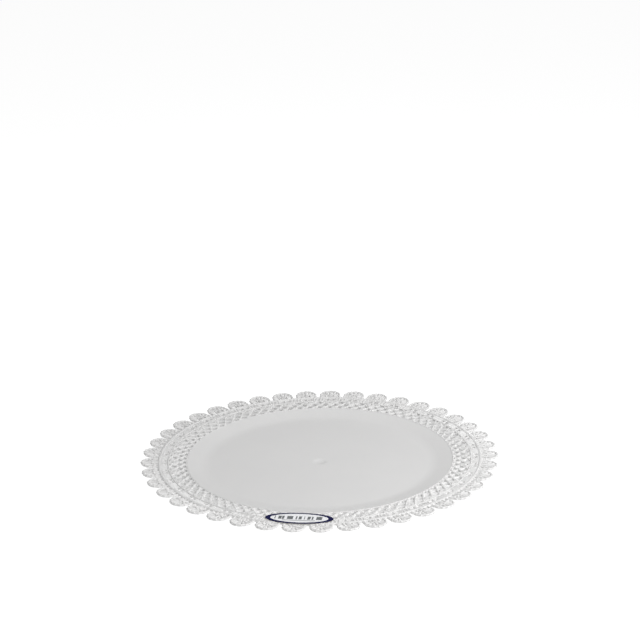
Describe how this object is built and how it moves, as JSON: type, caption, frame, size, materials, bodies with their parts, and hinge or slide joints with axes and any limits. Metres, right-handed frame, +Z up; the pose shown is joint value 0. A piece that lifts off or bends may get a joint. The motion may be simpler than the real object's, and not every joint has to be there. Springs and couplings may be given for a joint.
{
  "type": "lace-rimmed serving plate",
  "caption": "Round shallow white plastic serving plate with a smooth flat well, an openwork lace rim, a scalloped picot edge and an oval sticker.",
  "frame": {"origin": "on the plate's axis, in the plane of the foot ring's flat underside", "axes": "+Z up along the plate's axis; a scallop is centred on -Y, the side the sticker is near; +X to the right seen from there"},
  "size_m": [0.3, 0.2998, 0.0099],
  "materials": {
    "floor_plastic": "smooth white polystyrene with a soft sheen",
    "wall_plastic": "smooth white polystyrene with a soft sheen",
    "foot_plastic": "smooth white polystyrene with a soft sheen",
    "lace_plastic": "white polystyrene with a fine moulded thread texture",
    "cord_plastic": "white polystyrene with a fine moulded thread texture",
    "sticker_print": "printed glossy film with a navy border",
    "sticker_adhesive": "clear adhesive seen at the film's edge"
  },
  "bodies": {
    "root": {"well_floor": "floor_plastic", "well_wall": "wall_plastic", "foot_ring": "foot_plastic", "mouth_bead": "cord_plastic", "lattice_band": "lace_plastic", "middle_cord": "cord_plastic", "eyelet_band": "lace_plastic", "outer_cord": "cord_plastic", "scallop_fans": "lace_plastic", "scallop_borders": "lace_plastic", "label_adhesive": "sticker_adhesive", "label_face": "sticker_print"}
  },
  "joints": []
}
